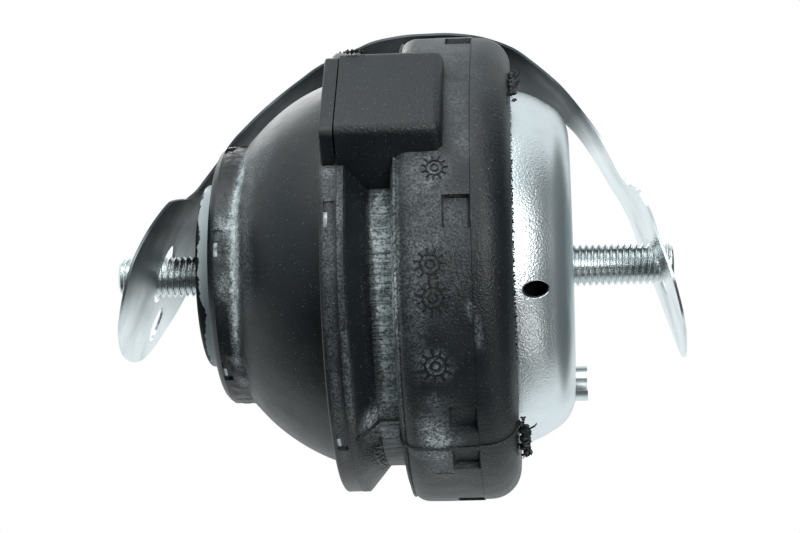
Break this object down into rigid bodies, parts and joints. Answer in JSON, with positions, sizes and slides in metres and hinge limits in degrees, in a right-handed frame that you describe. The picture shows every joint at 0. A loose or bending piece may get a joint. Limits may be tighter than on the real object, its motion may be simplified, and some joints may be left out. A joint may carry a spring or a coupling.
{
  "type": "hydraulic engine mount",
  "caption": "Round fluid-filled rubber engine mount with a stud at each end, a moulded stop block, a pressed steel cup and a bowed sheet heat shield.",
  "frame": {"origin": "centre of the seating face of the steel cup, on the mount's axis, where the lower stud leaves it", "axes": "+Z along the mount's axis to the engine side, +X to the side that the heat shield covers, -Y to the side of the vent hole and the stop block"},
  "size_m": [0.1148, 0.112, 0.1372],
  "materials": {
    "rubber": "matte, moulded",
    "zinc_steel": "zinc plated",
    "sheet_steel": "smooth rolled sheet",
    "plain_steel": "phosphated, bonded in rubber",
    "cast_aluminium": "die cast"
  },
  "bodies": {
    "root": {"upper_stud": "zinc_steel", "top_disc": "rubber", "core": "cast_aluminium", "core_plate": "plain_steel", "snubber_plate": "plain_steel", "snubber_screw": "zinc_steel", "spring_ring": "plain_steel", "main_spring": "rubber", "housing": "plain_steel", "outer_buffer": "rubber", "diaphragm": "rubber", "lower_track": "cast_aluminium", "upper_track": "cast_aluminium", "decoupler": "rubber", "track_seal": "rubber", "cup": "zinc_steel", "lower_stud": "zinc_steel", "locating_dowel": "zinc_steel", "heat_shield": "sheet_steel"}
  },
  "joints": []
}
